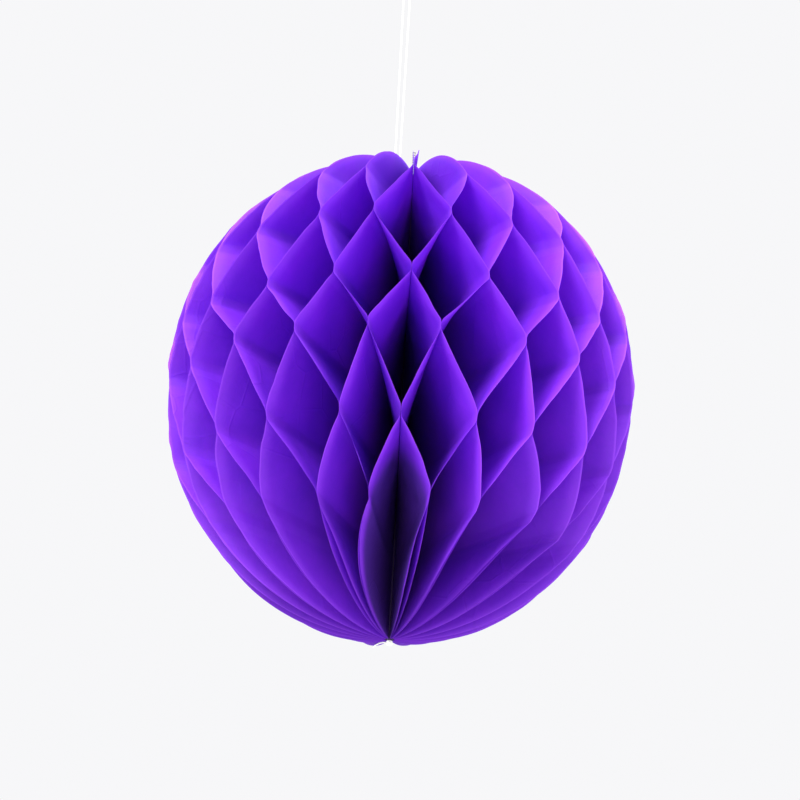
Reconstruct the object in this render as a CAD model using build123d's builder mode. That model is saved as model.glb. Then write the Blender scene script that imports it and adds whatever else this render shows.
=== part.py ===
"""Paper honeycomb ball: tissue leaves fanned about a bound spine between two cover cards.

Millimetres, +Z up. The origin is the inner crown of the hanging loop, so the whole ball lies
below it. The spine is vertical and stands one hole reach in front of the loop, and the two
cover cards lie back to back behind it, towards +Y, where the fan of leaves closes on itself.

The fan is one book bound at the spine. The fixed card hangs on the thread. The swinging card
turns about the spine, and every leaf turns with it by its own share, so that the ball closes
into a narrow wedge against the fixed card.
"""

from build123d import *
from math import cos, pi, radians, sin, tan
import os

os.makedirs("parts", exist_ok=True)

# Ball
ball_radius = 100.0
leaf_half_height = 106.0
leaf_count = 42
leaf_wedge_angle = 0.08

# Spine: the leaves' straight edges, bound into a round core, with a bare end at the top
spine_radius = 2.0
spine_end_radius = 0.7
spine_end_rise = 11.5
spine_edge_fillet = 0.6
spine_clearance = 0.3
spine_knot_radius = 1.4
spine_knot_height = 2.4

# Thread tail at the bottom of the spine
tail_reach = 6.5
tail_drop = 2.2
tail_turn = 70.0

# Cover cards
card_thickness = 0.6
card_reach = 99.0
card_half_height = 105.0
card_inner_reach = 12.0
tab_width = 8.0
tab_rise = 10.0
tab_corner_radius = 2.5
hole_radius = 1.5
hole_reach = 16.0
hole_below_tab_top = 4.5

# Bond pads between the cards: reach from the spine and height from mid-ball
pad_thickness = 0.2
pad_radius = 5.0
pad_places = {"upper": (50.0, 62.0), "middle": (82.0, 0.0), "lower": (50.0, -62.0)}

# Hanging thread
thread_radius = 0.3
hang_drop = 215.0
crown_half_width = 1.7
eye_half_width = 1.15
thread_seat_gap = 0.1
thread_knot_radius = 1.0
thread_knot_height = 2.6
thread_knot_drop = 7.0

# Places that follow from the sizes
spine_y = -hole_reach
centre_z = -hang_drop
card_middle_x = (pad_thickness + card_thickness) / 2
tab_top_z = centre_z + card_half_height + tab_rise
hole_z = tab_top_z - hole_below_tab_top
leaf_inner_radius = spine_radius + spine_clearance
spine_bottom_z = centre_z - leaf_half_height


def spine_direction(turn):
    """Unit direction from the spine at a turn, in degrees, counted from the fixed card."""
    angle = radians(90 + turn)
    return (cos(angle), sin(angle), 0)


def spine_plane(turn):
    """Upright plane through the spine: its x runs out from the spine and its y runs up."""
    out = spine_direction(turn)
    return Plane(origin=(0, spine_y, centre_z), x_dir=out, z_dir=(out[1], -out[0], 0))


def spine_floor_plane(turn, height):
    """Level plane on the spine at a height above mid-ball, with x running out at that turn."""
    return Plane(origin=(0, spine_y, centre_z + height), x_dir=spine_direction(turn), z_dir=(0, 0, 1))


# Tissue leaves: half ellipses that stand on the spine, each a thin wedge in plan, so that
# neighbours never meet when the fan is closed. Each lies on its leaf's mean plane.
leaf_spacing = 360 / leaf_count
wedge_half_width = ball_radius * tan(radians(leaf_wedge_angle / 2))

for number in range(1, leaf_count + 1):
    leaf_turn = (number - 0.5) * leaf_spacing
    with BuildPart() as tissue_leaf:
        with BuildSketch(spine_plane(leaf_turn)):
            Ellipse(ball_radius, leaf_half_height)
            with Locations((leaf_inner_radius, 0)):
                Rectangle(
                    ball_radius,
                    2 * leaf_half_height,
                    align=(Align.MIN, Align.CENTER),
                    mode=Mode.INTERSECT,
                )
        extrude(amount=wedge_half_width, both=True)
        with BuildSketch(spine_floor_plane(leaf_turn, -leaf_half_height)):
            with BuildLine():
                Polyline(
                    (0, 0),
                    (ball_radius, wedge_half_width),
                    (ball_radius, -wedge_half_width),
                    close=True,
                )
            make_face()
        extrude(amount=2 * leaf_half_height, mode=Mode.INTERSECT)
    tissue_leaf.part.label = f"tissue_leaf_{number:02d}"
    export_step(tissue_leaf.part, f"parts/tissue_leaf_{number:02d}.step")


# Cover cards: a half ellipse of greyboard each. Only the fixed one has the hanging tab.
def card_plane(side):
    """Upright plane on a card's face next to the seam, with its normal away from the seam."""
    origin = (side * pad_thickness / 2, spine_y, centre_z)
    return Plane(origin=origin, x_dir=(0, 1, 0), z_dir=(side, 0, 0))


def card_outline():
    """Draw a card's half ellipse, cut straight at its inner edge."""
    Ellipse(card_reach, card_half_height)
    with Locations((card_inner_reach, 0)):
        Rectangle(
            card_reach,
            2 * card_half_height,
            align=(Align.MIN, Align.CENTER),
            mode=Mode.INTERSECT,
        )


with BuildPart() as cover_card_fixed:
    with BuildSketch(card_plane(-1)):
        card_outline()
    extrude(amount=card_thickness)
    with BuildSketch(Plane.YZ.offset(-pad_thickness / 2)):
        with Locations((spine_y + card_inner_reach, tab_top_z)):
            tab = Rectangle(tab_width, 2 * tab_rise, align=(Align.MIN, Align.MAX))
        fillet(tab.vertices().group_by(Axis.Y)[-1], tab_corner_radius)
    extrude(amount=-card_thickness)
    with BuildSketch(Plane.YZ.offset(-pad_thickness / 2)):
        with Locations((spine_y + hole_reach, hole_z)):
            Circle(hole_radius)
    extrude(amount=-card_thickness, mode=Mode.SUBTRACT)
cover_card_fixed.part.label = "cover_card_fixed"
export_step(cover_card_fixed.part, "parts/cover_card_fixed.step")

with BuildPart() as cover_card_swinging:
    with BuildSketch(card_plane(1)):
        card_outline()
    extrude(amount=card_thickness)
cover_card_swinging.part.label = "cover_card_swinging"
export_step(cover_card_swinging.part, "parts/cover_card_swinging.step")

# Bond pads: thin discs that fill the seam between the two cards.
for place, (reach, height) in pad_places.items():
    with BuildPart() as bond_pad:
        with BuildSketch(Plane.YZ.offset(-pad_thickness / 2)):
            with Locations((spine_y + reach, centre_z + height)):
                Circle(pad_radius)
        extrude(amount=pad_thickness)
    bond_pad.part.label = f"bond_pad_{place}"
    export_step(bond_pad.part, f"parts/bond_pad_{place}.step")

# Spine: the bound core, as tall as the leaves, and its bare end above them.
with BuildPart() as spine_binding:
    with BuildSketch(spine_floor_plane(0, -leaf_half_height)):
        Circle(spine_radius)
    extrude(amount=2 * leaf_half_height)
    fillet(spine_binding.edges(), spine_edge_fillet)
    with BuildSketch(spine_floor_plane(0, leaf_half_height)):
        Circle(spine_end_radius)
    extrude(amount=spine_end_rise)
spine_binding.part.label = "spine_binding"
export_step(spine_binding.part, "parts/spine_binding.step")


# Knots: a small barrel with rounded ends, pulled tight round its thread.
def barrel_knot(middle_x, middle_y, bottom_z, radius, height):
    """A round barrel of that radius and height, with both ends rounded off."""
    with BuildPart() as knot:
        with BuildSketch(Plane((middle_x, middle_y, bottom_z))):
            Circle(radius)
        extrude(amount=height)
        fillet(knot.edges().filter_by(GeomType.CIRCLE), 0.45 * min(height, 2 * radius))
    return knot


spine_knot = barrel_knot(0, spine_y, spine_bottom_z - spine_knot_height, spine_knot_radius, spine_knot_height)
spine_knot.part.label = "spine_knot"
export_step(spine_knot.part, "parts/spine_knot.step")

thread_knot = barrel_knot(
    -crown_half_width, 0, -thread_knot_drop - thread_knot_height, thread_knot_radius, thread_knot_height
)
thread_knot.part.label = "thread_knot"
export_step(thread_knot.part, "parts/thread_knot.step")

# Thread tail: one free end of the binding thread, curling out sideways from the spine's knot.
tail_out = spine_direction(tail_turn)
tail_z = spine_bottom_z - spine_knot_height / 2


def tail_point(reach, side, drop):
    """A point of the tail, by its reach along the tail, its sideways bow and its drop."""
    x = reach * tail_out[0] - side * tail_out[1]
    y = reach * tail_out[1] + side * tail_out[0]
    return (x, spine_y + y, tail_z - drop)


with BuildPart() as spine_thread_tail:
    with BuildLine():
        tail_arc = ThreePointArc(
            tail_point(spine_knot_radius, 0, 0),
            tail_point(0.6 * tail_reach, 0.2 * tail_reach, 0.3 * tail_drop),
            tail_point(tail_reach, 0, tail_drop),
        )
    with BuildSketch(Plane(origin=tail_arc @ 0, z_dir=tail_arc % 0)):
        Circle(thread_radius)
    sweep()
spine_thread_tail.part.label = "spine_thread_tail"
export_step(spine_thread_tail.part, "parts/spine_thread_tail.step")

# Hanging thread: one loop, from its knot over the crown, down through the tab's hole and back.
eye_z = hole_z + hole_radius - thread_radius - thread_seat_gap
thread_points = [
    (-crown_half_width, 0, -thread_knot_drop - 0.4 * thread_knot_height),
    (-crown_half_width, 0, thread_radius),
    (crown_half_width, 0, thread_radius),
    (eye_half_width - card_middle_x, 0, eye_z),
    (-eye_half_width - card_middle_x, 0, eye_z),
    (-crown_half_width, 0, -thread_knot_drop - 0.6 * thread_knot_height),
]


def corner_radii(points):
    """The largest tangent arc at each corner: 0.45 of the shorter run over tan(half the turn)."""
    radii = []
    for before, corner, after in zip(points, points[1:], points[2:]):
        run_in = Vector(*corner) - Vector(*before)
        run_out = Vector(*after) - Vector(*corner)
        half_turn = radians(run_in.get_angle(run_out)) / 2
        radii.append(0.45 * min(run_in.length, run_out.length) / tan(half_turn))
    return radii


thread_radii = corner_radii(thread_points)
with BuildPart() as hanging_thread:
    with BuildLine():
        thread_line = FilletPolyline(*thread_points, radius=thread_radii)
    with BuildSketch(Plane(origin=thread_line @ 0, z_dir=thread_line % 0)):
        Circle(thread_radius)
    sweep()
hanging_thread.part.label = "hanging_thread"
export_step(hanging_thread.part, "parts/hanging_thread.step")

tube_volume = pi * thread_radius**2 * thread_line.length
print("thread corner radii", [round(radius, 2) for radius in thread_radii])
print("thread length", round(thread_line.length, 2))
print("thread volume over section times length", round(hanging_thread.part.volume / tube_volume, 5))
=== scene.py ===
"""Paper honeycomb ball: violet tissue leaves on a bound spine, hung from a white thread.

Metres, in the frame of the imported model: +Z up, origin at the inner crown of the hanging loop.
Leaf number i stands between glue planes i-1 and i, and is glued to its neighbours in six rows,
alternately to the one before and the one after, which opens the fan into diamond cells.
"""

from math import cos, pi, radians, sin

import bpy
import numpy as np
from mathutils import Matrix, Vector


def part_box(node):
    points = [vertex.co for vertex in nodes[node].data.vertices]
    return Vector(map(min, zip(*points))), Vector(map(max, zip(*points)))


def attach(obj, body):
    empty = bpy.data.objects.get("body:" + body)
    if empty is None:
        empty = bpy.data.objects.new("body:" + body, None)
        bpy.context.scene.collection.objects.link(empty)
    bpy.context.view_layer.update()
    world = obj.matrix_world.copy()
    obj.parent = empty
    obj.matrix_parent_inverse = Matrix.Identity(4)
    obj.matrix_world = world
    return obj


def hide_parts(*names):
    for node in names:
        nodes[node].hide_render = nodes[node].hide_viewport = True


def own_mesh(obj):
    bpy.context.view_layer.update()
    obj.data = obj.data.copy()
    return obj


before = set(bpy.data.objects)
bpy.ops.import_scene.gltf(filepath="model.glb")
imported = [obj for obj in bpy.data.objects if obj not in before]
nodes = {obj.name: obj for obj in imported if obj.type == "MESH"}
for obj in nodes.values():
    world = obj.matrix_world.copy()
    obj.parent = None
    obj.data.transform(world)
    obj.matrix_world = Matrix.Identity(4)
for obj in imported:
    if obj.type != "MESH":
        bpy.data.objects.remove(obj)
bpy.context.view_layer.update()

# Driving sizes, in metres
BALL_RADIUS = 0.100
LEAF_HALF_HEIGHT = 0.106
LEAF_COUNT = 42
SPINE_Y = -0.016
BALL_Z = -0.215
LEAF_INNER_RADIUS = 0.0023
GLUE_ROWS = 6
GLUE_ROW_PITCH = 0.0311
GLUE_ROWS_ABOVE_MIDDLE = 0.004
GLUE_STRIP_HALF_WIDTH = 0.0019
THREAD_DIAMETER = 0.0006
SHEET_GAP = 0.00006

SPINE = Vector((0, SPINE_Y, BALL_Z))
PLANE_STEP = 2 * pi / LEAF_COUNT
ROW_STEPS = np.arange(1, GLUE_ROWS + 1) - (GLUE_ROWS + 1) / 2
ROW_HEIGHTS = ROW_STEPS * GLUE_ROW_PITCH + GLUE_ROWS_ABOVE_MIDDLE
STRIP_ENDS = np.stack([ROW_HEIGHTS - GLUE_STRIP_HALF_WIDTH, ROW_HEIGHTS + GLUE_STRIP_HALF_WIDTH], 1)
random = np.random.default_rng(42)
crease_random = np.random.default_rng(7)


# Camera ---------------------------------------------------------------------------------------

CAMERA_AZIMUTH = radians(-26.45)
CAMERA_ELEVATION = radians(-20.6)
CAMERA_ROLL = radians(2.9)
CAMERA_DISTANCE = 0.8
CAMERA_TARGET = Vector((0, SPINE_Y, -0.214))
CAMERA_LENS = 84.15
CAMERA_SENSOR_WIDTH = 36
CAMERA_CLIPPING = (0.01, 100)
# How far the target stands to the right of the axis and above it, over its distance
TARGET_OFF_AXIS = (0.0010, 0.0028)


def add_camera():
    """A camera on a sphere about its target: turned by azimuth and elevation, rolled about the
    line of sight, then swung a little so that the target stands off the axis. Returns the unit
    direction from the target out to the camera."""
    flat = cos(CAMERA_ELEVATION)
    outward = Vector((sin(CAMERA_AZIMUTH) * flat, -cos(CAMERA_AZIMUTH) * flat, sin(CAMERA_ELEVATION)))
    level_right = Vector((cos(CAMERA_AZIMUTH), sin(CAMERA_AZIMUTH), 0))
    level_up = level_right.cross(-outward)
    right = level_right * cos(CAMERA_ROLL) + level_up * sin(CAMERA_ROLL)
    up = level_up * cos(CAMERA_ROLL) - level_right * sin(CAMERA_ROLL)
    forward = (-outward - right * TARGET_OFF_AXIS[0] - up * TARGET_OFF_AXIS[1]).normalized()
    right = forward.cross(up).normalized()
    up = right.cross(forward)
    data = bpy.data.cameras.new("camera")
    data.sensor_width = CAMERA_SENSOR_WIDTH
    data.lens = CAMERA_LENS
    data.clip_start, data.clip_end = CAMERA_CLIPPING
    camera = bpy.data.objects.new("camera", data)
    turn = Matrix((right, up, -forward)).transposed().to_4x4()
    camera.matrix_world = Matrix.Translation(CAMERA_TARGET + outward * CAMERA_DISTANCE) @ turn
    bpy.context.scene.collection.objects.link(camera)
    bpy.context.scene.camera = camera
    return outward


view_outward = add_camera()


# Shader expressions ---------------------------------------------------------------------------


class Field:
    """A number that changes over a surface: Python's operators add its Math nodes."""

    def __init__(self, kit, socket):
        self.kit = kit
        self.socket = socket

    def maths(self, operation, *values, clamp=False):
        made = self.kit.node("ShaderNodeMath", {"operation": operation, "use_clamp": clamp}, *values)
        return Field(self.kit, made.outputs[0])

    def __add__(self, other):
        return self.maths("ADD", self, other)

    def __radd__(self, other):
        return self.maths("ADD", other, self)

    def __sub__(self, other):
        return self.maths("SUBTRACT", self, other)

    def __rsub__(self, other):
        return self.maths("SUBTRACT", other, self)

    def __mul__(self, other):
        return self.maths("MULTIPLY", self, other)

    def __rmul__(self, other):
        return self.maths("MULTIPLY", other, self)

    def __abs__(self):
        return self.maths("ABSOLUTE", self)

    def sine(self):
        return self.maths("SINE", self)

    def fraction(self):
        return self.maths("FRACT", self)

    def clamped(self):
        return self.maths("ADD", self, 0.0, clamp=True)


class Finish:
    """A material's node tree, with one method for every node that isn't an operator."""

    def __init__(self, name):
        self.material = bpy.data.materials.new(name)
        self.material.use_nodes = True
        self.tree = self.material.node_tree
        self.tree.nodes.clear()
        self.output = self.tree.nodes.new("ShaderNodeOutputMaterial")

    def node(self, kind, settings=None, *values, **named):
        """Add a node: its settings first, then its sockets, by place or by name."""
        made = self.tree.nodes.new(kind)
        for key, value in (settings or {}).items():
            setattr(made, key, value)
        for place, value in list(enumerate(values)) + list(named.items()):
            key = place if isinstance(place, int) else place.replace("_", " ")
            self.feed(made.inputs[key], value)
        return made

    def feed(self, socket, value):
        source = value.socket if isinstance(value, Field) else value
        if isinstance(source, bpy.types.NodeSocket):
            self.tree.links.new(source, socket)
        else:
            socket.default_value = source

    def coordinates(self):
        return self.node("ShaderNodeTexCoord").outputs["Object"]

    def parts(self, vector):
        made = self.node("ShaderNodeSeparateXYZ", None, vector)
        return [Field(self, made.outputs[axis]) for axis in "XYZ"]

    def attribute(self, name):
        return Field(self, self.node("ShaderNodeAttribute", {"attribute_name": name}).outputs["Fac"])

    def noise(self, vector, scale, detail=3.0, roughness=0.55):
        made = self.node(
            "ShaderNodeTexNoise", None, Vector=vector, Scale=scale, Detail=detail, Roughness=roughness
        )
        return Field(self, made.outputs[0])

    def stretched(self, vector, scale):
        made = self.node("ShaderNodeMapping", None, Vector=vector, Scale=scale)
        return made.outputs[0]

    def between(self, value, low, high):
        """0 below low, 1 above high, and a smooth step between them."""
        smooth = {"interpolation_type": "SMOOTHSTEP"}
        made = self.node("ShaderNodeMapRange", smooth, Value=value, From_Min=low, From_Max=high)
        return Field(self, made.outputs[0])

    def blend(self, share, first, second):
        made = self.node("ShaderNodeMix", {"data_type": "RGBA"})
        self.feed(made.inputs[0], share)
        self.feed(made.inputs[6], first)
        self.feed(made.inputs[7], second)
        return made.outputs[2]

    def bump(self, height, strength, distance):
        return self.node(
            "ShaderNodeBump", None, Height=height, Strength=strength, Distance=distance
        ).outputs[0]

    def surface(self, tone, roughness, **named):
        return self.node(
            "ShaderNodeBsdfPrincipled", None, Base_Color=tone, Roughness=roughness, **named
        )

    def finish(self, shader):
        self.feed(self.output.inputs["Surface"], shader.outputs[0])
        return self.material


def colour(red, green, blue):
    return (red, green, blue, 1.0)


# Finishes -------------------------------------------------------------------------------------

TISSUE_DEEP = colour(0.130, 0.006, 0.56)
TISSUE_BODY = colour(0.205, 0.009, 0.67)
# Paler tone, for the level bands and for the painted highlight along the cut edge
TISSUE_PALE_AND_HIGHLIGHT = colour(0.360, 0.070, 0.86)
# Painted shade: the tone the tissue darkens to deep between the leaves
TISSUE_CORE_SHADE = colour(0.072, 0.008, 0.300)
TISSUE_SHOWS_THROUGH = 0.24
CLOUD_SCALE = 60.0
FIBRE_SCALE = 900.0
FIBRE_STRETCH = (1.0, 1.0, 0.35)
FACET_SCALE = 52.0
FACET_EDGE = 0.035
CREASED_PATCH_SCALE = 14.0
CREASED_PATCH_LEVELS = (0.47, 0.60)
# Half width of the paler bands, from full to none, in band spacings
BAND_HALF_WIDTHS = (0.045, 0.075)
# Distances from the cut edge over which its painted highlight line and band fade, and the depths
# over which painted shade darkens the tissue towards the core
HIGHLIGHT_LINE_FADE = (0.0002, 0.0011)
HIGHLIGHT_BAND_FADE = (0.001, 0.008)
PAINTED_SHADE_DEPTHS = (0.020, 0.082)


def tissue_finish():
    """Dyed tissue: cloudy fibres, faint creases, barely paler level bands, a painted highlight along
    the cut edge, and painted shade that darkens the tone deep between the leaves. Some light shows
    through from behind."""
    kit = Finish("violet_tissue")
    place = kit.coordinates()
    rows = kit.attribute("row_place")
    edge = kit.attribute("edge_distance")
    cloud = kit.noise(place, CLOUD_SCALE, 4.0)
    fibre = kit.noise(kit.stretched(place, FIBRE_STRETCH), FIBRE_SCALE, 3.0, 0.7)
    cell_edges = {"feature": "DISTANCE_TO_EDGE"}
    facet = kit.node("ShaderNodeTexVoronoi", cell_edges, Vector=place, Scale=FACET_SCALE)
    crease = 1 - kit.between(Field(kit, facet.outputs[0]), 0.0, FACET_EDGE)
    creased = kit.between(kit.noise(place, CREASED_PATCH_SCALE, 1.0), *CREASED_PATCH_LEVELS)
    band = 1 - kit.between(abs((rows + 0.5).fraction() - 0.5), *BAND_HALF_WIDTHS)
    mottle = (cloud * 1.3 + fibre * 0.8 - 0.55).clamped()
    base = kit.blend(mottle, TISSUE_DEEP, TISSUE_BODY)
    # Painted highlight along the cut edge: a thin paler line and a wider paler band
    edge_highlight_line = 1 - kit.between(edge, *HIGHLIGHT_LINE_FADE)
    edge_highlight_band = 1 - kit.between(edge, *HIGHLIGHT_BAND_FADE)
    pale = (band * 0.05 + (edge_highlight_line * 0.4 + edge_highlight_band * 0.24)).clamped()
    tone = kit.blend(pale, base, TISSUE_PALE_AND_HIGHLIGHT)
    # Painted shade, darkening the tissue inwards from the cut edge
    core_shade_share = kit.between(kit.attribute("painted_shade_depth"), *PAINTED_SHADE_DEPTHS)
    tone = kit.blend(core_shade_share, tone, TISSUE_CORE_SHADE)
    height = fibre * 0.15 + crease * creased * 0.22 + cloud * 0.8
    normal = kit.bump(height, 0.4, 0.0008)
    front = kit.surface(tone, 0.62 + fibre * 0.2, Normal=normal)
    back = kit.node("ShaderNodeBsdfTranslucent", None, Color=tone, Normal=normal)
    mixed = (TISSUE_SHOWS_THROUGH, front.outputs[0], back.outputs[0])
    return kit.finish(kit.node("ShaderNodeMixShader", None, *mixed))


BOARD_DARK = colour(0.110, 0.106, 0.100)
BOARD_PALE = colour(0.190, 0.184, 0.174)
BOARD_FLECK = colour(0.06, 0.057, 0.055)
PULP_SCALE = 420.0
FLECK_SCALE = 1500.0
FLECK_LEVELS = (0.62, 0.70)
GRAIN_SCALE = 500.0
GRAIN_STRETCH = (1.0, 0.15, 1.0)


def board_finish():
    """Bare greyboard: flecked pulp with a faint rolled grain."""
    kit = Finish("greyboard")
    place = kit.coordinates()
    pulp = kit.noise(place, PULP_SCALE, 5.0, 0.7)
    fleck = kit.between(kit.noise(place, FLECK_SCALE, 1.0), *FLECK_LEVELS)
    grain = kit.noise(kit.stretched(place, GRAIN_STRETCH), GRAIN_SCALE, 2.0)
    tone = kit.blend(pulp, BOARD_DARK, BOARD_PALE)
    tone = kit.blend(fleck * 0.6, tone, BOARD_FLECK)
    normal = kit.bump(pulp * 0.5 + grain * 0.5, 0.25, 0.0003)
    return kit.finish(kit.surface(tone, 0.78 + pulp * 0.15, Normal=normal))


PAD_SHADED = colour(0.24, 0.236, 0.22)
PAD_WHITE = colour(0.33, 0.325, 0.31)
FOAM_SCALE = 1800.0


def pad_finish():
    """White adhesive pad: a fine open foam."""
    kit = Finish("adhesive_pad")
    place = kit.coordinates()
    foam = kit.noise(place, FOAM_SCALE, 2.0, 0.6)
    tone = kit.blend(foam, PAD_SHADED, PAD_WHITE)
    normal = kit.bump(foam, 0.3, 0.0002)
    return kit.finish(kit.surface(tone, 0.5 + foam * 0.2, Normal=normal))


# Very dark violet tones of the spine's core, mottled
CORE_DARK = colour(0.020, 0.010, 0.050)
CORE_DARK_VIOLET = colour(0.060, 0.030, 0.130)
# Grey tones of the winding: the darker one is painted shade between the turns of thread
WINDING_GROOVE_SHADE = colour(0.16, 0.15, 0.17)
WINDING_PALE = colour(0.36, 0.35, 0.37)
CORE_MOTTLE_SCALE = 350.0
# Phase of the winding for each metre up the spine and for each metre across it
WINDING_RISE = 5200.0
WINDING_SLANT = 900.0
CORE_TOP_Z = BALL_Z + LEAF_HALF_HEIGHT
CORE_TOP_FADE = 0.001


def binding_finish():
    """Spine: a very dark violet core, ridged by close turns of thread that show grey on the bare end
    above it, with painted shade between the turns."""
    kit = Finish("bound_spine")
    place = kit.coordinates()
    across, _, height = kit.parts(place)
    turns = (height * WINDING_RISE + across * WINDING_SLANT).sine() * 0.5 + 0.5
    # A very dark violet mottle over the core
    core_mottle = kit.noise(place, CORE_MOTTLE_SCALE, 3.0)
    bare = kit.between(height, CORE_TOP_Z - CORE_TOP_FADE, CORE_TOP_Z + CORE_TOP_FADE)
    core_tone = kit.blend(core_mottle, CORE_DARK, CORE_DARK_VIOLET)
    # Painted shade between the turns of thread
    wound = kit.blend(turns, WINDING_GROOVE_SHADE, WINDING_PALE)
    tone = kit.blend(bare, core_tone, wound)
    normal = kit.bump(turns, 0.5, 0.0003)
    core = kit.surface(tone, 0.7 + core_mottle * 0.25, Specular_IOR_Level=0.15, Normal=normal)
    return kit.finish(core)


THREAD_SHADED = colour(0.60, 0.59, 0.57)
THREAD_WHITE = colour(0.92, 0.91, 0.88)
THREAD_TWIST_PITCH = 0.0012
KNOT_TWIST_PITCH = 0.0007
PLY_SLANT = 0.8
FUZZ_SCALE = 4000.0


def thread_finish(name, twist_pitch):
    """White spun thread: slanting plies round the strand and loose fibres over them."""
    kit = Finish(name)
    place = kit.coordinates()
    across, away, height = kit.parts(place)
    along = height + (across + away) * PLY_SLANT
    plies = (along * (2 * pi / twist_pitch)).sine() * 0.5 + 0.5
    fuzz = kit.noise(place, FUZZ_SCALE, 2.0)
    tone = kit.blend(plies * 0.6 + fuzz * 0.4, THREAD_SHADED, THREAD_WHITE)
    normal = kit.bump(plies + fuzz * 0.3, 0.5, 0.0001)
    return kit.finish(kit.surface(tone, 0.6 + fuzz * 0.2, Normal=normal))


# Cord: the hanging loop, which starts and ends in its knot ------------------------------------

CROWN_HALF_WIDTH = 0.0017
EYE_HALF_WIDTH = 0.00115
CARD_MIDDLE_X = -0.0004
EYE_Z = -0.1034
KNOT_MIDDLE_Z = -0.0083
# The strands run straight from this far past a bend, and lean sideways by this share of it
STRAIGHT_FROM_BEND = 0.0036
STRAND_SLANT = 0.0095
# How far the two ends stand above and below the middle of the knot
END_FROM_KNOT_MIDDLE = 0.00026


def hanging_loop():
    """A smooth curve whose control points are the loop's route: up from the knot, over the
    crown, down through the card's eye and up again, with a point near each end of the long
    straight strands."""
    lean = STRAIGHT_FROM_BEND * STRAND_SLANT
    points = [
        (-CROWN_HALF_WIDTH, 0, KNOT_MIDDLE_Z + END_FROM_KNOT_MIDDLE),
        (-CROWN_HALF_WIDTH, 0, THREAD_DIAMETER / 2),
        (CROWN_HALF_WIDTH, 0, THREAD_DIAMETER / 2),
        (CROWN_HALF_WIDTH - lean, 0, THREAD_DIAMETER / 2 - STRAIGHT_FROM_BEND),
        (CARD_MIDDLE_X + EYE_HALF_WIDTH + lean, 0, EYE_Z + STRAIGHT_FROM_BEND),
        (CARD_MIDDLE_X + EYE_HALF_WIDTH, 0, EYE_Z),
        (CARD_MIDDLE_X - EYE_HALF_WIDTH, 0, EYE_Z),
        (CARD_MIDDLE_X - EYE_HALF_WIDTH, 0, EYE_Z + STRAIGHT_FROM_BEND),
        (-CROWN_HALF_WIDTH, 0, KNOT_MIDDLE_Z - END_FROM_KNOT_MIDDLE),
    ]
    data = bpy.data.curves.new("hanging_loop_thread", "CURVE")
    data.dimensions = "3D"
    data.bevel_depth = THREAD_DIAMETER / 2
    data.bevel_resolution = 4
    data.resolution_u = 24
    data.use_fill_caps = True
    spline = data.splines.new("NURBS")
    spline.points.add(len(points) - 1)
    spline.points.foreach_set("co", np.c_[np.array(points), np.ones(len(points))].ravel())
    spline.order_u = 3
    spline.use_endpoint_u = True
    cord = bpy.data.objects.new("hanging_loop_thread", data)
    bpy.context.scene.collection.objects.link(cord)
    data.materials.append(thread_finish("hanging_thread_white", THREAD_TWIST_PITCH))
    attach(cord, "hanging_card")
    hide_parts("hanging_thread")


hanging_loop()


# Tissue leaves --------------------------------------------------------------------------------

# Grid of a leaf: steps outwards, which close up towards the cut edge, and steps upwards
STEPS_ACROSS = 44
ACROSS_POWER = 0.85
STEPS_PER_PANEL = 18
STEPS_PER_STRIP = 4
STEPS_PER_FLAP = 34
TIP_SHARE = 0.9995
# Fine steps and a least value for the risen heights, and the search for the cut edge
FINE_HEIGHTS = 2121
LEAST_SQUARE = 0.05
EDGE_SUBSTITUTIONS = 12
LEAST_LEAF_WIDTH = 0.0003

# Folds, and how far the glue joints stray from their ideal places
FOLD_ROUNDING = 0.0010
JOINT_TURN_SPREAD = radians(0.45)
JOINT_RISE_SPREAD = 0.0009
# Lift of each glue row, from the lowest up
ROW_LIFT = (0.0005, -0.0020, 0.0025, -0.0010, 0.0010, -0.0005)
# Turn of a few glue joints off their plane, as (plane, row): degrees
JOINT_NUDGES = {
    (14, 6): 2.0, (22, 6): -1.5, (24, 6): 2.5,
    (15, 5): 1.5, (17, 5): -1.5,
    (12, 4): -1.5, (18, 4): 0.0, (22, 4): 2.0,
    (19, 3): -1.5, (21, 3): 1.5,
    (16, 2): 2.0, (20, 2): 0.0, (22, 2): -2.0,
    (15, 1): 2.0, (21, 1): -2.5,
}

# Free flaps beyond the end rows: a flap bends away from its glued partner by a share of the half
# step between planes, a few spring further, and the two flaps of a glued pair lean together
FLAP_OPENING = (0.05, 0.18)
FLAP_SPRUNG = 0.5
FLAPS_SPRUNG_SHARE = 0.2
FLAP_BEND_SHARE = 0.3
FLAP_BEND_POWER = 1.5
PAIR_LEAN_SPREAD = radians(0.5)
# Lean of a few pairs, as (plane, lower 0 or upper 1): degrees
LEAN_NUDGES = {
    (16, 1): 0.6, (18, 1): 0.0, (20, 1): -0.5,
    (15, 0): 0.5, (17, 0): -7.5, (19, 0): -0.5,
}
# Lower pairs are gathered towards the gaping cell, most of all about this plane
GATHERED_PLANE = 24
GATHERED_PLANES = 3.6
GATHERED_LEAN = radians(-9.5)

# Wrinkles and creases: none at the strips, less towards the spine, and little on the flaps,
# where neighbours come close. Creases are deepest about one leaf
WAVES_PER_LEAF = 4
WRINKLE_DEPTH = 0.00013
WRINKLE_LENGTHS = (0.012, 0.034)
WRINKLE_FREE_OF_STRIP = 0.006
WRINKLE_FULL_REACH = 0.04
FLAP_WRINKLES = 0.15
CREASED_LEAF = 9.5
CREASED_LEAVES = 3.0
CREASE_DEPTH = 0.0009
CREASE_LENGTHS = (0.010, 0.026)

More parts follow.
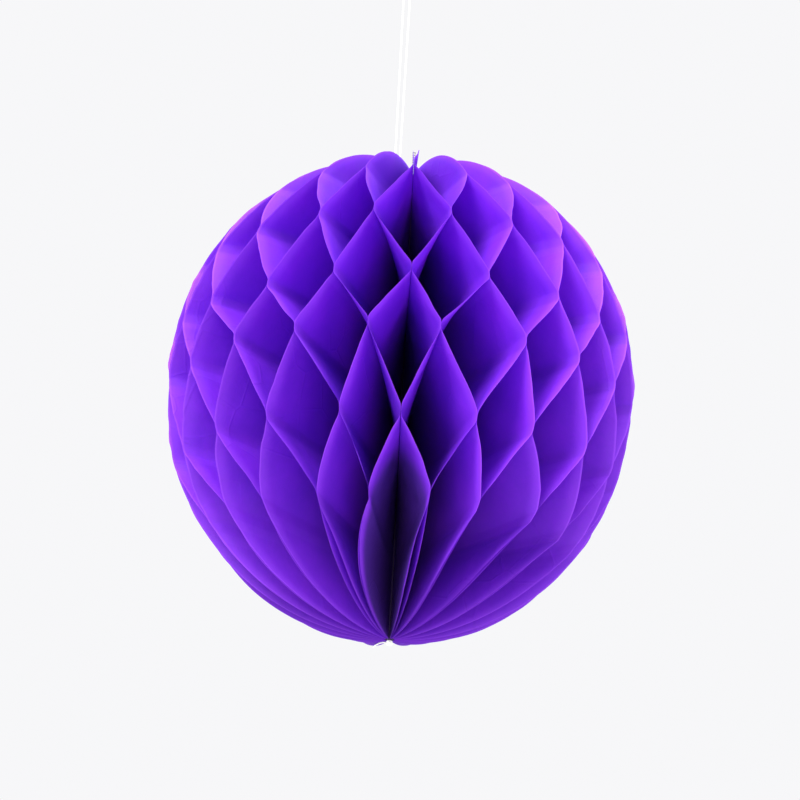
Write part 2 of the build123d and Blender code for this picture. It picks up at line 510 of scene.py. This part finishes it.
# Cut edge: a little ragged, and cut short in the lower half, most of all on one leaf
RAGGED_EDGE = 0.00012
RAGGED_POINTS = 60
RAGGED_HALF_HEIGHT = 0.11
RAGGED_POWER = 4
LOW_SIDE_LEAF = 29
LOW_SIDE_LEAVES = 4.5
LOW_SIDE_LOSS = 0.028
LOW_SIDE_FADE = 0.08

# Strips glued to a card stand this far off the seam between the cards, clear of the card and of
# its facing sheet, from this reach outwards
CARD_STAND_OFF = 0.00086
CARD_INNER_REACH = 0.012


def bell(offset, width):
    """1 at no offset and falling on both sides: the exponential of less the square of offset
    over width."""
    return np.exp(-((offset / width) ** 2))


def flat_heights():
    """Heights up the flat sheet: even steps over each glue strip, steps that close up towards
    both folds of each panel between two strips, and steps that close up towards each pole over
    the free flaps."""
    panel_steps = (1 - np.cos(np.linspace(0, pi, STEPS_PER_PANEL, endpoint=False))) / 2
    runs = []
    for low, high in zip(STRIP_ENDS, STRIP_ENDS[1:]):
        runs.append(np.linspace(low[0], low[1], STEPS_PER_STRIP, endpoint=False))
        runs.append(low[1] + (high[0] - low[1]) * panel_steps)
    runs.append(np.linspace(*STRIP_ENDS[-1], STEPS_PER_STRIP, endpoint=False))
    rise = np.sin(np.linspace(0, pi / 2, STEPS_PER_FLAP))
    tip = LEAF_HALF_HEIGHT * TIP_SHARE
    upper_flap = STRIP_ENDS[-1, 1] + (tip - STRIP_ENDS[-1, 1]) * rise
    lower_flap = STRIP_ENDS[0, 0] - (tip + STRIP_ENDS[0, 0]) * rise
    return np.concatenate([lower_flap[::-1], np.concatenate(runs)[1:], upper_flap])


def folded_run(values):
    """One value at each flat height: held over each strip, straight over each panel, and held
    beyond the end strips, with every fold rounded by a mean over three heights close together."""
    knots = STRIP_ENDS.ravel()
    held = np.repeat(values, 2)
    shifts = (-FOLD_ROUNDING, 0, FOLD_ROUNDING)
    return sum(np.interp(HEIGHTS + shift, knots, held) for shift in shifts) / len(shifts)


def swing_share(heights):
    """How far the ideal sheet stands from its mean plane, from -1 to 1: held at each strip,
    straight over each panel, and held at the last strip's value over the flaps."""
    return np.interp(heights, STRIP_ENDS.ravel(), np.repeat((-1.0) ** np.arange(GLUE_ROWS), 2))


def risen(heights, reach):
    """Height of a sheet point once the fan is open: the sheet keeps its length, so each step up
    shrinks by the root of 1 less the square of its sideways slope, summed from mid-ball. What
    is under the root is kept above a least value."""
    fine = np.linspace(-LEAF_HALF_HEIGHT, LEAF_HALF_HEIGHT, FINE_HEIGHTS)
    step = fine[1] - fine[0]
    slope = np.abs(np.gradient(swing_share(fine), fine)) * PLANE_STEP / 2
    shrink = np.sqrt(np.maximum(1 - (reach[..., None] * slope) ** 2, LEAST_SQUARE))
    total = np.zeros(reach.shape + (len(fine),))
    total[..., 1:] = np.cumsum((shrink[..., 1:] + shrink[..., :-1]) / 2, axis=-1) * step
    total -= total[..., len(fine) // 2, None]
    place = (heights + LEAF_HALF_HEIGHT) / step
    low = np.clip(place.astype(int), 0, len(fine) - 2)
    part = place - low
    below = np.take_along_axis(total, low[..., None], axis=-1)[..., 0]
    above = np.take_along_axis(total, low[..., None] + 1, axis=-1)[..., 0]
    return below * (1 - part) + above * part


def cut_reach(heights):
    """Reach of the cut edge at each flat height, found by repeated substitution, so that the
    opened ball's outline is an ellipse."""
    reach = BALL_RADIUS * np.sqrt(1 - (heights / LEAF_HALF_HEIGHT) ** 2)
    for _ in range(EDGE_SUBSTITUTIONS):
        inside = np.maximum(1 - (risen(heights, reach) / LEAF_HALF_HEIGHT) ** 2, 0)
        reach = 0.5 * reach + 0.5 * BALL_RADIUS * np.sqrt(inside)
    return np.maximum(reach, LEAF_INNER_RADIUS + LEAST_LEAF_WIDTH)


HEIGHTS = flat_heights()
CUT_REACH = cut_reach(HEIGHTS)
ACROSS = np.linspace(0, 1, STEPS_ACROSS) ** ACROSS_POWER
REACH = LEAF_INNER_RADIUS + (CUT_REACH[:, None] - LEAF_INNER_RADIUS) * ACROSS[None, :]
RISE = risen(np.broadcast_to(HEIGHTS[:, None], REACH.shape), REACH)


def glue_joints():
    """Turn and rise of every glue joint off its ideal place, by plane and row, and the lean of
    every glued pair of flaps, by plane and end: seeded spreads, with chosen values at a few of
    them and a bell of lean about the gathered plane. Joints on the cards only rise."""
    turn = random.normal(0, JOINT_TURN_SPREAD, (LEAF_COUNT + 1, GLUE_ROWS))
    rise = random.normal(0, JOINT_RISE_SPREAD, (LEAF_COUNT + 1, GLUE_ROWS)) + ROW_LIFT
    lean = random.normal(0, PAIR_LEAN_SPREAD, (LEAF_COUNT + 1, 2))
    planes = np.arange(LEAF_COUNT + 1)
    lean[:, 0] += GATHERED_LEAN * bell(planes - GATHERED_PLANE, GATHERED_PLANES)
    for (plane, row), nudge in JOINT_NUDGES.items():
        turn[plane, row - 1] = radians(nudge)
    for (plane, end), nudge in LEAN_NUDGES.items():
        lean[plane, end] = radians(nudge)
    on_cards = [0, LEAF_COUNT]
    turn[on_cards] = 0
    rise[on_cards] = ROW_LIFT
    lean[on_cards] = 0
    return turn, rise, lean


JOINT_TURN, JOINT_RISE, PAIR_LEAN = glue_joints()


def slanting_waves(source, lengths):
    """Phases of a leaf's random plane waves over its grid, one wave at a time: a full turn for
    each wave length along the wave's own slant over reach and height, from a random start."""
    for _ in range(WAVES_PER_LEAF):
        length = source.uniform(*lengths)
        tilt = source.uniform(0, 2 * pi)
        start = source.uniform(0, 2 * pi)
        yield 2 * pi * (REACH * cos(tilt) + RISE * sin(tilt)) / length + start


def sharp_valleys(wave):
    """Creases from one wave: the sine of half its phase without the sign, less its mean."""
    return CREASE_DEPTH * (np.abs(np.sin(wave / 2)) - 2 / pi) / WAVES_PER_LEAF


def leaf_surface(number):
    """Points of one open leaf on its grid of flat height and reach.

    The sheet's turn is a polyline over the heights through its glue joints, flat over each strip.
    Beyond the end rows the free flap leans with its partner and bends back from it by its own
    share of the half step. Sine wrinkles, and creases that are deepest about one leaf, are added
    square to the sheet. Strips glued to a card stand clear of it, by an angle that shrinks with
    the reach. The reach is ragged at the cut edge, and shorter low down on one side."""
    rows = np.arange(GLUE_ROWS)
    plane = number - (rows + number + 1) % 2
    side = np.where(plane == number, 1.0, -1.0)
    turn = folded_run(plane * PLANE_STEP + JOINT_TURN[plane, rows])
    sided = folded_run(side)
    lift = folded_run(JOINT_RISE[plane, rows])
    for end, up in ((0, -1), (-1, 1)):
        sprung = FLAP_SPRUNG * (random.random() < FLAPS_SPRUNG_SHARE)
        opening = (random.uniform(*FLAP_OPENING) + sprung) * PLANE_STEP / 2
        edge = up * (ROW_HEIGHTS[end] + up * GLUE_STRIP_HALF_WIDTH)
        past_row = np.maximum(up * HEIGHTS - edge, 0) / (LEAF_HALF_HEIGHT - edge)
        bent = 1 - np.exp(-((past_row / FLAP_BEND_SHARE) ** FLAP_BEND_POWER))
        turn += PAIR_LEAN[plane[end], end] * past_row * (2 - past_row)
        turn -= side[end] * opening * bent
    strip_distance = np.min(np.abs(HEIGHTS[:, None] - ROW_HEIGHTS[None, :]), axis=1)
    loose = np.clip((strip_distance - GLUE_STRIP_HALF_WIDTH) / WRINKLE_FREE_OF_STRIP, 0, 1)
    loose[(HEIGHTS < ROW_HEIGHTS[0]) | (HEIGHTS > ROW_HEIGHTS[-1])] *= FLAP_WRINKLES
    loose = loose[:, None] * np.clip(REACH / WRINKLE_FULL_REACH, 0, 1)
    wrinkle = sum(WRINKLE_DEPTH * np.sin(wave) for wave in slanting_waves(random, WRINKLE_LENGTHS))
    crease_waves = slanting_waves(crease_random, CREASE_LENGTHS)
    creases = sum(sharp_valleys(wave) for wave in crease_waves)
    wrinkle = (wrinkle + bell(number - CREASED_LEAF, CREASED_LEAVES) * creases) * loose
    ragged_heights = np.linspace(-RAGGED_HALF_HEIGHT, RAGGED_HALF_HEIGHT, RAGGED_POINTS)
    ragged = RAGGED_EDGE * np.interp(HEIGHTS, ragged_heights, random.normal(0, 1, RAGGED_POINTS))
    low = np.clip(0.5 - HEIGHTS / LOW_SIDE_FADE, 0, 1)
    loss = LOW_SIDE_LOSS * bell(number - LOW_SIDE_LEAF, LOW_SIDE_LEAVES) * low[:, None] * ACROSS
    reach = (REACH + ragged[:, None] * ACROSS**RAGGED_POWER) * (1 - loss)
    on_card = folded_run(np.where(plane % LEAF_COUNT == 0, -side, 0.0))
    off_card = on_card[:, None] * CARD_STAND_OFF / np.maximum(reach, CARD_INNER_REACH)
    off_plane = (wrinkle - sided[:, None] * SHEET_GAP) / reach
    angle = pi / 2 + turn[:, None] + off_card + off_plane
    rise = RISE + lift[:, None] * (REACH / BALL_RADIUS)
    return np.stack(
        [reach * np.cos(angle), SPINE_Y + reach * np.sin(angle), BALL_Z + rise], axis=-1
    )


def grid_mesh(name, points):
    """A smooth mesh of four-sided faces over a grid of points, one vertex at each grid place."""
    rows, columns = points.shape[:2]
    index = np.arange(rows * columns).reshape(rows, columns)
    corners = np.stack([index[:-1, :-1], index[:-1, 1:], index[1:, 1:], index[1:, :-1]], -1)
    corners = corners.reshape(-1, 4)
    mesh = bpy.data.meshes.new(name)
    mesh.from_pydata(points.reshape(-1, 3), [], corners.tolist())
    mesh.polygons.foreach_set("use_smooth", np.full(len(corners), True))
    mesh.update()
    return mesh


def store(mesh, name, values):
    """Keep one number for each vertex as a named attribute."""
    made = mesh.attributes.new(name, "FLOAT", "POINT")
    made.data.foreach_set("value", np.ascontiguousarray(values, np.float32).ravel())


def add_uv(mesh, across, along):
    """Lay the sheet out flat in its UV map, in units of a leaf's length."""
    loops = np.empty(len(mesh.loops), int)
    mesh.loops.foreach_get("vertex_index", loops)
    flat = np.stack([across.ravel()[loops], along.ravel()[loops]], -1)
    mesh.uv_layers.new(name="flat_sheet").data.foreach_set("uv", flat.astype(np.float32).ravel())


FLAT_LENGTH = 2 * LEAF_HALF_HEIGHT

# Extra painted shade, deepening inwards from the cut edge, on the leaves about the gaping cell
GAPING_PLANE = 18
GAPING_LEAVES = 1.3
GAPING_PAINTED_SHADE = 0.25
GAPING_LOW_PAINTED_SHADE = 7.0
GAPING_LOW_START = 0.045
GAPING_LOW_RUN = 0.03


def extra_painted_shade(number):
    """How much faster than elsewhere the painted shade darkens a leaf inwards from its cut edge, by
    flat height: a bell over the leaf numbers about the gaping cell, and more of it towards the lower
    pole."""
    low = np.clip((-HEIGHTS - GAPING_LOW_START) / GAPING_LOW_RUN, 0, 1)
    darkening = GAPING_PAINTED_SHADE + GAPING_LOW_PAINTED_SHADE * low
    return bell(number - GAPING_PLANE - 0.5, GAPING_LEAVES) * darkening


def tissue_leaf(number, material):
    """One leaf of the fan, glued to its neighbours and free at both poles."""
    name = f"open_leaf_{number:02d}"
    mesh = grid_mesh(name, leaf_surface(number))
    heights = np.broadcast_to(HEIGHTS[:, None], REACH.shape)
    edge_distance = CUT_REACH[:, None] - REACH
    store(mesh, "row_place", heights / GLUE_ROW_PITCH + 0.5)
    store(mesh, "edge_distance", edge_distance)
    # Painted shade, deepening inwards from the cut edge, faster on the leaves about the gaping cell
    store(mesh, "painted_shade_depth", edge_distance * (1 + extra_painted_shade(number))[:, None])
    add_uv(mesh, REACH / FLAT_LENGTH, heights / FLAT_LENGTH + 0.5)
    mesh.materials.append(material)
    leaf = bpy.data.objects.new(name, mesh)
    bpy.context.scene.collection.objects.link(leaf)
    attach(leaf, f"leaf_{number:02d}")
    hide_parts(f"tissue_leaf_{number:02d}")
    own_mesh(leaf)


# Sheets that face the cards: a gap off the card's face, inset from its outer and inner edges
FACING_GAP = 0.00008
FACING_INSET = 0.0004
FACING_INNER_INSET = 0.0022
FACING_GRID = (61, 17)


def facing_sheet(side, body, card, material):
    """The sheet pasted over a card's outer face: flat, on a grid of height and reach, and cut
    just inside the card's ellipse. The heights close up towards both tips, as a sine does."""
    low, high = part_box(card)
    half_height = (min(high.z, BALL_Z + LEAF_HALF_HEIGHT) - low.z) / 2 - FACING_INSET
    card_reach = high.y - SPINE_Y - FACING_INSET
    inner = low.y - SPINE_Y + FACING_INNER_INSET
    top = half_height * np.sqrt(1 - (inner / card_reach) ** 2)
    heights = top * np.sin(np.linspace(-pi / 2, pi / 2, FACING_GRID[0]))[:, None]
    cut = card_reach * np.sqrt(1 - (heights / half_height) ** 2)
    reach = inner + (cut - inner) * np.linspace(0, 1, FACING_GRID[1])[None, :]
    face = (high.x if side > 0 else low.x) + side * FACING_GAP
    heights = np.broadcast_to(heights, reach.shape)
    points = np.stack([np.full_like(reach, face), SPINE_Y + reach, BALL_Z + heights], -1)
    name = f"facing_sheet_{'swinging' if side > 0 else 'fixed'}"
    mesh = grid_mesh(name, points[:, ::side])
    store(mesh, "row_place", np.zeros_like(reach))
    # Painted shade deepens inwards from the cut edge here too, at the plain rate
    for key in ("edge_distance", "painted_shade_depth"):
        store(mesh, key, (cut - reach)[:, ::side])
    add_uv(mesh, reach[:, ::side] / FLAT_LENGTH, heights[:, ::side] / FLAT_LENGTH + 0.5)
    mesh.materials.append(material)
    sheet = bpy.data.objects.new(name, mesh)
    bpy.context.scene.collection.objects.link(sheet)
    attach(sheet, body)
    widths = (cut[1:, 0] + cut[:-1, 0]) / 2 - inner
    area = float(np.sum(widths * np.diff(heights[:, 0])))


violet_tissue = tissue_finish()
facing_sheet(-1, "hanging_card", "cover_card_fixed", violet_tissue)
facing_sheet(1, "swinging_card", "cover_card_swinging", violet_tissue)
for leaf_number in range(1, LEAF_COUNT + 1):
    tissue_leaf(leaf_number, violet_tissue)


# Carried-over nodes keep their shapes and get their finishes ------------------------------------


def refinish(node_names, material):
    """Put a finish on every material slot of some of the frame's own nodes."""
    for node_name in node_names:
        for place in nodes[node_name].material_slots:
            place.material = material


refinish(["cover_card_fixed", "cover_card_swinging"], board_finish())
refinish(["bond_pad_upper", "bond_pad_middle", "bond_pad_lower"], pad_finish())
refinish(["spine_binding"], binding_finish())
knot_thread_white = thread_finish("knot_thread_white", KNOT_TWIST_PITCH)
refinish(["spine_knot", "spine_thread_tail", "thread_knot"], knot_thread_white)


# Stage and light --------------------------------------------------------------------------------

FLOOR_Z = -0.62
FLOOR_HALF_SIDE = 40
FLOOR_POINTS = 5
FLOOR_DARK = colour(0.280, 0.280, 0.284)
FLOOR_PALE = colour(0.292, 0.292, 0.296)
FLOOR_HAZE_SCALE = 3.0
SKY_WHITE = colour(1.0, 1.0, 1.0)
BACKDROP = colour(0.93, 0.93, 0.945)


def floor_finish():
    """Matt pale floor with a faint unevenness."""
    kit = Finish("pale_floor")
    haze = kit.noise(kit.coordinates(), FLOOR_HAZE_SCALE, 2.0)
    tone = kit.blend(haze, FLOOR_DARK, FLOOR_PALE)
    return kit.finish(kit.surface(tone, 0.95, Specular_IOR_Level=0.1))


def add_floor():
    """A level square far larger than the object, which neither shades it nor lights it."""
    side = np.linspace(-FLOOR_HALF_SIDE, FLOOR_HALF_SIDE, FLOOR_POINTS)
    across, away = np.meshgrid(side, side)
    mesh = grid_mesh("studio_floor", np.stack([across, away, np.full_like(across, FLOOR_Z)], -1))
    mesh.materials.append(floor_finish())
    floor = bpy.data.objects.new("studio_floor", mesh)
    bpy.context.scene.collection.objects.link(floor)
    floor.visible_diffuse = False
    floor.visible_shadow = False


def add_far_light(name, offset, strength, spread):
    """A far, even light that comes from an offset direction and looks that many degrees wide."""
    data = bpy.data.lights.new(name, "SUN")
    data.energy = strength
    data.angle = radians(spread)
    light = bpy.data.objects.new(name, data)
    light.location = SPINE + offset
    light.rotation_euler = (-offset).to_track_quat("-Z", "Y").to_euler()
    bpy.context.scene.collection.objects.link(light)


def add_sky(ambient, seen):
    """Even pale surroundings: one strength lights the ball and another stands behind it."""
    world = bpy.data.worlds.new("studio")
    bpy.context.scene.world = world
    world.use_nodes = True
    tree = world.node_tree
    tree.nodes.clear()
    path = tree.nodes.new("ShaderNodeLightPath")
    soft = tree.nodes.new("ShaderNodeBackground")
    soft.inputs[0].default_value = SKY_WHITE
    soft.inputs[1].default_value = ambient
    behind = tree.nodes.new("ShaderNodeBackground")
    behind.inputs[0].default_value = BACKDROP
    behind.inputs[1].default_value = seen
    mix = tree.nodes.new("ShaderNodeMixShader")
    output = tree.nodes.new("ShaderNodeOutputWorld")
    tree.links.new(path.outputs["Is Camera Ray"], mix.inputs[0])
    tree.links.new(soft.outputs[0], mix.inputs[1])
    tree.links.new(behind.outputs[0], mix.inputs[2])
    tree.links.new(mix.outputs[0], output.inputs[0])


toward_camera = Vector((view_outward.x, view_outward.y, 0)).normalized()
rightwards = Vector((-toward_camera.y, toward_camera.x, 0))
overhead = Vector((0, 0, 1))
# Places of the key, top and fill lights, as shares of those three directions
key_offset = rightwards * -0.55 + overhead * 0.75 + toward_camera * 1.0
top_offset = rightwards * 0.5 + overhead * 1.2 + toward_camera * 0.5
fill_offset = rightwards * 1.1 + overhead * 0.45 + toward_camera * 0.7
add_floor()
add_sky(ambient=1.5, seen=1.0)
add_far_light("key_light", key_offset, strength=5.0, spread=30.0)
add_far_light("top_light", top_offset, strength=2.0, spread=50.0)
add_far_light("fill_light", fill_offset, strength=0.9, spread=50.0)
bpy.context.scene.view_settings.view_transform = "Standard"
